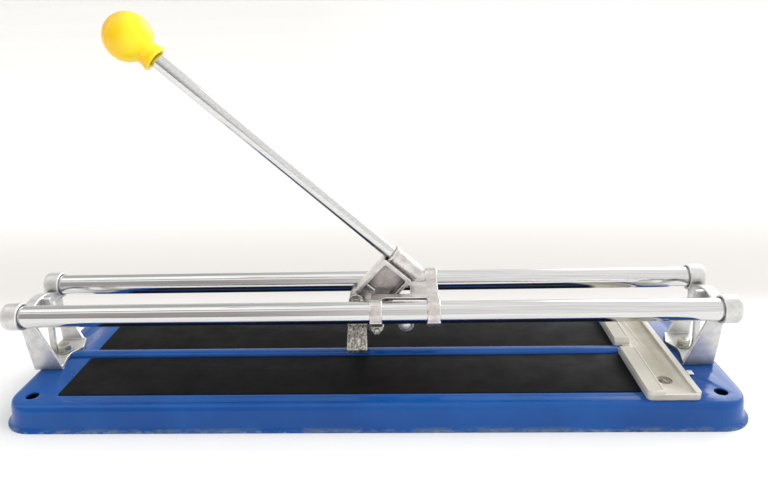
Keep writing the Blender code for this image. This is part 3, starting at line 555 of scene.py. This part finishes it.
# ---------------------------------------------------------------- the base pan and pads

def pan_ring(inset_x, inset_y, z):
    half_x, half_y = PAN_HALF[0] - inset_x, PAN_HALF[1] - inset_y
    corners = ((half_x, half_y), (-half_x, half_y), (-half_x, -half_y), (half_x, -half_y))
    outline = fillet(corners, [PAN_CORNER - (inset_x + inset_y) / 2] * 4, 14)
    return [(PAN_SHIFT + x, y, z) for x, y in outline]


def well_outline(margin, corner, steps=8):
    """The front pad's well, grown by a margin."""
    left, right = WELL_X[0] - margin, WELL_X[1] + margin
    near, far = WELL_Y[0] - margin, WELL_Y[1] + margin
    corners = ((left, -far), (right, -far), (right, -near), (left, -near))
    return fillet(corners, [corner + margin] * 4, steps)


def mirrored(outline):
    return [(x, -y) for x, y in reversed(outline)]


def ridge_form(name, margin, foot):
    """The rounded breaking ridge; a negative margin makes the groove beneath it."""
    height, half = RIDGE_HEIGHT + margin, RIDGE_HALF + margin
    left, right = RIDGE_X[0] - margin, RIDGE_X[1] + margin
    stations = ((left, 0.04, 0.5), (left + 3, 0.55, 0.8), (left + 7, 0.92, 0.97), (left + 11, 1, 1),
                (right - 9, 1, 1), (right - 5.2, 0.97, 0.5), (right - 2, 0.8, 0.36), (right, 0.3, 0.2))
    rings = []
    for x, tall, wide in curve_through(stations, 3):
        arc = [math.pi * k / 20 for k in range(21)]
        points = [(x, -half * wide * math.cos(a), PAN_TOP + max(height * tall, 0.05) * math.sin(a) ** 0.8) for a in arc]
        rings.append([(x, -half * wide, foot), *points, (x, half * wide, foot)])
    return skin(name, rings)


def make_pan():
    outside = ((0, 0, 0), (0, 0, 1.0), (0.9, 0.5, 1.7), (2.6, 1.3, 3.0), (4.0, 1.9, 5.5), (4.9, 2.8, 13.0),
               (5.4, 3.4, 16.0), (6.6, 4.7, 18.1), (9.2, 6.9, 19.0))
    inside = ((4.6, 2.7, -1.0), (4.6, 2.7, 1.6), (5.2, 3.1, 5.5), (6.1, 4.0, 13.0), (6.6, 4.6, 15.6),
              (7.8, 5.9, 17.2), (9.6, 7.3, 17.8))
    pan = skin("pan_piece", [pan_ring(*level) for level in curve_through(outside, 4)])
    hollow = skin("pan_hollow", [pan_ring(*level) for level in curve_through(inside, 2)])
    for number, turn in enumerate((list, mirrored)):
        cut(pan, prism(f"well_{number}", turn(well_outline(0, 2)), "Z", (WELL_FLOOR, PAN_TOP + 5)))
        cut(hollow, prism(f"well_back_{number}", turn(well_outline(SHEET, 2)), "Z", (WELL_FLOOR - SHEET, PAN_TOP)))
    join(hollow, ridge_form("groove", -SHEET, WELL_FLOOR - 2 * SHEET))
    join(pan, ridge_form("ridge", 0, WELL_FLOOR - 0.5 * SHEET))
    cut(pan, hollow)
    for sx in (-1, 1):
        for sy in (-1, 1):
            drill(pan, 4.5, (PAN_SHIFT + sx * 238.9, sy * 58.5))
        drill(pan, 3.3, (sx * 240, 0))
    for y in SCREWS_Y:
        drill(pan, 2.4, (SCREW_X, y))
    cut(pan, block("slot", (227.9, 230.9), (-38.5, -29.5), (14, 24)))
    soften(pan, 0.45, 3, 32)
    return shade(pan, 45)


def drill(target, radius, centre):
    x, y = centre
    return cut(target, turned("drill", [(0, 13), (radius, 13), (radius, 25), (0, 25)], (x, y, 0), (0, 0, 1), 48))


def make_pad(name, turn):
    outline = fillet(((PAD_X[0], -PAD_Y[1]), (PAD_X[1], -PAD_Y[1]), (PAD_X[1], -PAD_Y[0]), (PAD_X[0], -PAD_Y[0])),
                     [2] * 4, 6)
    pad = prism(name, turn(outline), "Z", PAD_Z)
    return shade(soften(pad, 0.6, 4, 50), 50)


enlist(make_pan(), "base", "blue_paint", None, "base_pan")
for label, turn in (("front", list), ("rear", mirrored)):
    pad = enlist(make_pad(f"pad_{label}_piece", turn), "base", "black_rubber", None, f"pad_{label}")


# ---------------------------------------------------------------- rails, handle and knob

def bar(name, radius, span, centre, direction):
    low, high = span
    ease = 0.6
    profile = [(0, low), (radius - ease, low)]
    for k in range(1, 4):
        angle = math.pi / 6 * k
        profile.append((radius - ease + ease * math.sin(angle), low + ease - ease * math.cos(angle)))
    profile += [(r, low + high - along) for r, along in reversed(profile)]
    return shade(turned(name, profile, centre, direction), 30)


for side, label in ((-1, "front"), (1, "rear")):
    rail = bar(f"rail_{label}_piece", RAIL_RADIUS, (-RAIL_END, RAIL_END), (0, side * RAIL_Y, RAIL_Z), (1, 0, 0))
    enlist(rail, "base", "chrome", None, f"rail_{label}")
sleeve_foot = PIVOT + SLEEVE_E2 * E2
enlist(bar("handle_rod_piece", ROD_RADIUS, ROD_SPAN, sleeve_foot, E1), "lever", "chrome", "chrome_rod", "handle_rod")


def make_knob():
    """A ball with a short flared collar, open for the handle rod."""
    profile = [(0, KNOB_RADIUS)]
    lowest = math.acos(-14 / KNOB_RADIUS)
    for k in range(1, 41):
        angle = lowest * k / 40
        profile.append((KNOB_RADIUS * math.sin(angle), KNOB_RADIUS * math.cos(angle)))
    profile += curve_through([(8.75, -14.2), (8.6, -16.8), (8.8, -18.5), (9.35, -20.6), (9.5, -21.4), (9.4, -22.1),
                              (9.0, -22.5)], 4)
    profile += [(7.2, -22.5), (6.9, -22.2), (6.8, -21), (5.3, -21), (5.3, 0.3), (0, 0.3)]
    profile.reverse()
    return shade(turned("ball_knob_piece", profile, sleeve_foot + KNOB_E1 * E1, E1), 50)


enlist(make_knob(), "lever", "yellow_plastic", None, "ball_knob")

# ---------------------------------------------------------------- castings, fence and hardware

CASTINGS = {
    "bracket_left": ("base", "die_cast", 0.42, 3),
    "bracket_right": ("base", "die_cast", 0.42, 3),
    "carriage": ("carriage", "die_cast_satin", 0.38, 3),
    "lever": ("lever", "die_cast_satin", 0.32, 3),
    "breaker_foot": ("foot", "die_cast_satin", 0.25, 3),
}


def ring_ledges():
    """The parting ledges across the front and rear of the carriage's rings."""
    made = []
    for side in (-1, 1):
        for near, far in RING_SPANS:
            angle = math.radians(111)
            y = side * (RAIL_Y + (RING_RADIUS + 0.1) * math.sin(angle))
            z = RAIL_Z + (RING_RADIUS + 0.1) * math.cos(angle)
            made.append(block("ledge", (near + 0.2, far - 0.2), (y - 0.65, y + 0.65), (z - 0.5, z + 0.5)))
    return made


for node, (body, slot, voxel, rounds) in CASTINGS.items():
    piece = cast(node, voxel, rounds, ring_ledges() if node == "carriage" else ())
    enlist(piece, body, slot, "foot_casting" if node == "breaker_foot" else None, node)


def make_fence():
    """The stop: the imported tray, with a bead along the inner edge of its strip and eased edges."""
    fence = traced("fence", "fence_piece")
    for near, far in ((-67.5, -7.8), (7.8, 67.5)):
        bead = [(200.2 + 0.75 * math.cos(a), 26.05 + 0.7 * math.sin(a)) for a in
                (math.pi * k / 8 for k in range(9))] + [(199.45, 25.6), (200.95, 25.6)]
        rings = []
        for y, grow in ((near, 0.2), (near + 1.5, 1), (far - 1.5, 1), (far, 0.2)):
            rings.append([(200.2 + (x - 200.2) * grow, y, 25.6 + (z - 25.6) * grow) for x, z in bead])
        join(fence, skin("bead", rings))
    return shade(soften(fence, 0.4, 3, 30), 40)


def make_tongue():
    """The bright sheet tab that stands in the pan's slot."""
    outline = ((229.3, 15.5), (230.2, 15.5), (230.2, 19.4), (233.2, 19.5), (233.4, 20.3), (229.3, 20.3))
    tab = prism("slot_tongue", fillet(outline, [0.2, 0.2, 0.3, 0.3, 0.3, 0.7], 4), "Y", (-37.4, -32.2))
    return shade(soften(tab, 0.2), 40)


enlist(make_fence(), "base", "beige_plastic", None, "fence")
enlist(make_tongue(), "base", "zinc_steel", "zinc_bright")
HARDWARE = {
    "base": ("bracket_bolt_left", "bracket_bolt_right", "bracket_washer_left", "bracket_washer_right",
             "bracket_nut_left", "bracket_nut_right", "fence_screw_front", "fence_screw_rear",
             "fence_nut_front", "fence_nut_rear"),
    "carriage": ("pivot_bolt", "pivot_washer_front", "pivot_washer_rear", "pivot_nut"),
    "lever": ("foot_pin", "foot_clip", "wheel_screw", "wheel_nut"),
}
ZINC = {"wheel_screw": "zinc_bright", "fence_screw_front": "zinc_dull", "fence_screw_rear": "zinc_dull"}
for body, nodes in HARDWARE.items():
    for node in nodes:
        enlist(machined(node), body, "zinc_steel", ZINC.get(node), node)
enlist(machined("scoring_wheel", 0.1), "wheel", "hard_steel", None, "scoring_wheel")


# ---------------------------------------------------------------- floor, light and camera

def make_floor():
    """A pale table that sweeps up softly, far behind the object, with a painted shadow band just behind the object and
    painted shade towards the far left.
    """
    bend = [(2600 + 800 * math.sin(math.radians(a)), 800 - 800 * math.cos(math.radians(a))) for a in range(0, 81, 8)]
    top = [(-400000, 0), *bend]
    under = [(y, z - 20) for y, z in reversed(top)]
    floor = prism("floor", top + under, "X", (-9000, 9000))
    look = Look("pale_floor", roughness=0.7)
    distance = look.axis("Y")
    # Painted shadow: a darker band on the table just behind the object, fading back to pale further back.
    tone = look.mix(look.ease(distance, 0.06, 0.17), (0.93, 0.93, 0.928), (0.665, 0.645, 0.625))
    tone = look.mix(look.ease(distance, 0.2, 0.62), tone, (0.945, 0.93, 0.91))
    # Painted shade: the far left of the table is darkened.
    left = look.maths("MULTIPLY", look.ease(look.axis("X"), -0.55, 0.2, 1.0, 0.0), look.ease(distance, 0.3, 1.1))
    tone = look.mix(look.maths("MULTIPLY", left, 0.3), tone, (0.70, 0.71, 0.68))
    mottle = look.maths("MULTIPLY", look.ease(look.noise(60, 4), 0.3, 0.7), look.ease(distance, 0.1, 0.5, 0.05, 0.0))
    tone = look.mix(mottle, tone, (0.6, 0.6, 0.6))
    floor.data.materials.append(look.done(tone, Specular_IOR_Level=0.1))
    floor.location.z = -0.05 * MM


def make_world():
    """A studio seen as bands over the rails, brighter towards the right and the back."""
    world = bpy.data.worlds.new("studio")
    SCENE.world = world
    world.use_nodes = True
    tree = world.node_tree
    out = tree.nodes["Background"]

    def add(kind, **settings):
        made = tree.nodes.new(kind)
        for key, value in settings.items():
            setattr(made, key, value)
        return made

    sky = add("ShaderNodeTexCoord").outputs["Generated"]
    parts = add("ShaderNodeSeparateXYZ")
    tree.links.new(sky, parts.inputs[0])
    angle = add("ShaderNodeMath", operation="ARCTAN2")
    tree.links.new(parts.outputs["Z"], angle.inputs[0])
    tree.links.new(parts.outputs["Y"], angle.inputs[1])
    share = add("ShaderNodeMath", operation="DIVIDE")
    tree.links.new(angle.outputs[0], share.inputs[0])
    share.inputs[1].default_value = math.pi
    ramp = add("ShaderNodeValToRGB")
    tree.links.new(share.outputs[0], ramp.inputs[0])
    stops = ((0.0, (0.86, 0.86, 0.855)), (0.06, (0.62, 0.63, 0.61)), (0.36, (0.58, 0.60, 0.58)),
             (0.40, (1.5, 1.5, 1.5)), (0.57, (1.5, 1.5, 1.5)), (0.585, (0.25, 0.25, 0.25)),
             (0.605, (0.25, 0.25, 0.25)), (0.62, (1.25, 1.25, 1.25)), (0.68, (1.2, 1.2, 1.2)),
             (0.71, (0.50, 0.465, 0.455)), (0.97, (0.46, 0.43, 0.42)), (1.0, (0.18, 0.17, 0.17)))
    strip = ramp.color_ramp
    strip.elements[0].position, strip.elements[1].position = stops[0][0], stops[-1][0]
    for place, _ in stops[1:-1]:
        strip.elements.new(place)
    for element, (_, colour) in zip(strip.elements, stops):
        element.color = (*colour, 1)
    towards = add("ShaderNodeVectorMath", operation="DOT_PRODUCT")
    tree.links.new(sky, towards.inputs[0])
    towards.inputs[1].default_value = Vector((0.62, 0.66, 0.42)).normalized()
    lobe = add("ShaderNodeMapRange", interpolation_type="SMOOTHSTEP")
    tree.links.new(towards.outputs["Value"], lobe.inputs["Value"])
    for key, value in (("From Min", 0.895), ("From Max", 0.968), ("To Min", 0.0), ("To Max", 3.4)):
        lobe.inputs[key].default_value = value
    rightward = add("ShaderNodeMapRange", interpolation_type="SMOOTHSTEP")
    tree.links.new(parts.outputs["X"], rightward.inputs["Value"])
    for key, value in (("From Min", -0.45), ("From Max", 0.30), ("To Min", 0.0), ("To Max", 0.96)):
        rightward.inputs[key].default_value = value
    washed = add("ShaderNodeMix", data_type="RGBA")
    tree.links.new(rightward.outputs[0], washed.inputs[0])
    tree.links.new(ramp.outputs[0], washed.inputs[6])
    washed.inputs[7].default_value = (1.10, 1.09, 1.08, 1)
    total = add("ShaderNodeMix", data_type="RGBA", blend_type="ADD")
    total.inputs[0].default_value = 1
    tree.links.new(washed.outputs[2], total.inputs[6])
    tree.links.new(lobe.outputs[0], total.inputs[7])
    tree.links.new(total.outputs[2], out.inputs["Color"])
    out.inputs["Strength"].default_value = 0.93


def add_sun(name, strength, towards, spread):
    lamp = bpy.data.lights.new(name, "SUN")
    lamp.energy = strength
    lamp.angle = math.radians(spread)
    obj = place_object(name, lamp)
    obj.rotation_mode = "QUATERNION"
    obj.rotation_quaternion = Vector(towards).to_track_quat("Z", "Y")
    obj.visible_glossy = False
    return obj


def add_camera():
    lens = bpy.data.cameras.new("view")
    lens.lens = CAMERA_LENS
    lens.sensor_width = 36
    lens.clip_start = 0.01
    lens.clip_end = 5000
    camera = place_object("view", lens)
    p, y, r = CAMERA_PITCH, CAMERA_YAW, CAMERA_ROLL
    ahead = Vector((-math.sin(y) * math.cos(p), math.cos(y) * math.cos(p), -math.sin(p)))
    right = Vector((math.cos(y), math.sin(y), 0))
    up = Vector((-math.sin(y) * math.sin(p), math.cos(y) * math.sin(p), math.cos(p)))
    tilted = math.cos(r) * right + math.sin(r) * up
    upright = -math.sin(r) * right + math.cos(r) * up
    turn = Matrix((tilted, upright, -ahead)).transposed().to_4x4()
    camera.matrix_world = Matrix.Translation(Vector(CAMERA_PLACE) * MM) @ turn
    SCENE.camera = camera


for leftover in [o for o in SCENE.objects if o.type in ("LIGHT", "CAMERA") or o.name == "Cube"]:
    bpy.data.objects.remove(leftover, do_unlink=True)
make_floor()
make_world()
add_sun("key", 1.0, (0.8, -0.05, 0.6), 40)
add_sun("fill", 0.22, (-0.25, -0.8, 0.55), 80)
add_camera()
SCENE.view_settings.view_transform = "Standard"
